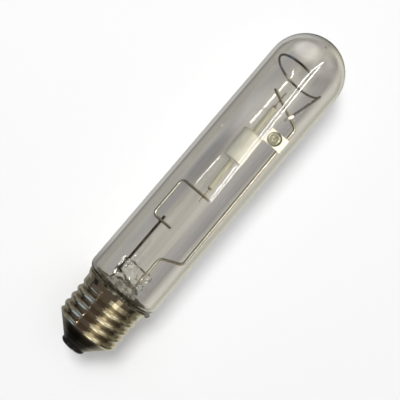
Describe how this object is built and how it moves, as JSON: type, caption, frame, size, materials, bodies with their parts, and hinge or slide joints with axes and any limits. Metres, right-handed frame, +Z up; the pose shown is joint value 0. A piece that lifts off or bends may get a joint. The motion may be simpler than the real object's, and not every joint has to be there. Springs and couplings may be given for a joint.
{
  "type": "metal halide lamp",
  "caption": "Tubular discharge lamp with a screw cap, a clear domed outer bulb and a ceramic arc tube held on a welded wire frame.",
  "frame": {"origin": "centre of the bounding box at its lowest level, under the lamp lying on its side", "axes": "+X along the lamp from cap to dome, +Y towards the bracket side of the wire frame, +Z up"},
  "size_m": [0.1524, 0.031, 0.031],
  "materials": {
    "clear_glass": "clear, glossy",
    "cap_plate": "nickel plated, shiny",
    "black_glass": "opaque black, glossy",
    "contact_metal": "satin",
    "solder": "dull, as set",
    "stem_glass": "clear, glossy",
    "seal_wire": "dark, satin",
    "arc_ceramic": "translucent, satin",
    "frit_glass": "satin",
    "lead_metal": "satin",
    "tungsten": "satin",
    "wire_plate": "nickel plated",
    "rod_metal": "dark, satin",
    "getter_tab": "satin",
    "getter_pan": "satin",
    "getter_fill": "matt, sintered",
    "spring_steel": "satin",
    "copper": "bright",
    "cement": "matt"
  },
  "bodies": {
    "root": {"outer_bulb": "clear_glass", "cap_shell": "cap_plate", "cap_insulator": "black_glass", "centre_contact": "contact_metal", "centre_solder": "solder", "glass_stem": "stem_glass", "exhaust_tube": "stem_glass", "long_seal_wire": "seal_wire", "short_seal_wire": "seal_wire", "arc_tube": "arc_ceramic", "lower_frit": "frit_glass", "lower_lead": "lead_metal", "lower_electrode": "tungsten", "upper_frit": "frit_glass", "upper_lead": "lead_metal", "upper_electrode": "tungsten", "bracket_wire": "wire_plate", "short_rod": "rod_metal", "frame_wire": "wire_plate", "getter_tab": "getter_tab", "getter_pan": "getter_pan", "getter_fill": "getter_fill", "support_spring": "spring_steel", "contact_lead": "copper", "shell_lead": "copper", "cap_cement": "cement", "side_solder": "solder"}
  },
  "joints": []
}
